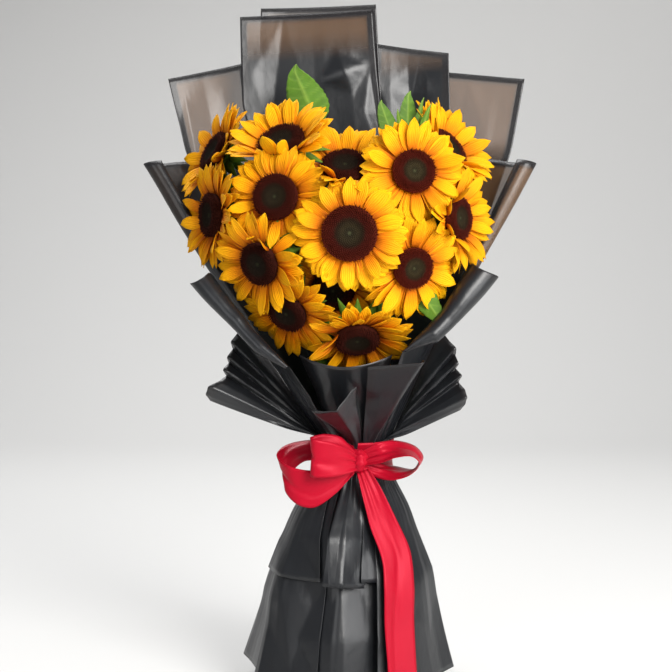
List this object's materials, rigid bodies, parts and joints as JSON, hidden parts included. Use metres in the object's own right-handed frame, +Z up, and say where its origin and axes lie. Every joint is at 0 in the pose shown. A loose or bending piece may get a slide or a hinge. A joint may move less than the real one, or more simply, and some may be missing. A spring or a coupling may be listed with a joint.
{
  "type": "wrapped sunflower bouquet",
  "caption": "Upright hand-tied bunch of cut sunflowers in flared black translucent film with a pleated collar and skirt, tied with a red ribbon bow.",
  "frame": {"origin": "on the floor, under the middle of the whole bunch's bounding box", "axes": "+Z up along the stems; the flower heads face -Y, the front; +X to the right of the front view"},
  "size_m": [0.4091, 0.2352, 0.714],
  "materials": {
    "petals": "soft matte petal",
    "disc": "matte florets",
    "stem": "satin leaf and stem",
    "wrap": "translucent satin film",
    "ribbon": "satin",
    "binding": "matte twine"
  },
  "bodies": {
    "root": {"wrap_back_tall": "wrap", "wrap_back_tall_rear": "wrap", "wrap_back_left": "wrap", "wrap_back_right": "wrap", "wrap_back_far_right": "wrap", "wrap_wing_left": "wrap", "wrap_wing_right": "wrap", "wrap_collar_left": "wrap", "wrap_collar_right": "wrap", "wrap_apron": "wrap", "wrap_pleats_left": "wrap", "wrap_pleats_right": "wrap", "wrap_front_fold": "wrap", "wrap_front_cone": "wrap", "ribbon_band": "ribbon", "ribbon_bow": "ribbon", "ribbon_tail": "ribbon", "binding": "binding", "petals_01": "petals", "disc_01": "disc", "stem_01": "stem", "petals_02": "petals", "disc_02": "disc", "stem_02": "stem", "petals_03": "petals", "disc_03": "disc", "stem_03": "stem", "petals_04": "petals", "disc_04": "disc", "stem_04": "stem", "petals_05": "petals", "disc_05": "disc", "stem_05": "stem", "petals_06": "petals", "disc_06": "disc", "stem_06": "stem", "petals_07": "petals", "disc_07": "disc", "stem_07": "stem", "petals_08": "petals", "disc_08": "disc", "stem_08": "stem", "petals_09": "petals", "disc_09": "disc", "stem_09": "stem", "petals_10": "petals", "disc_10": "disc", "stem_10": "stem", "petals_11": "petals", "disc_11": "disc", "stem_11": "stem", "petals_12": "petals", "disc_12": "disc", "stem_12": "stem", "petals_13": "petals", "disc_13": "disc", "stem_13": "stem", "petals_14": "petals", "disc_14": "disc", "stem_14": "stem"}
  },
  "joints": []
}
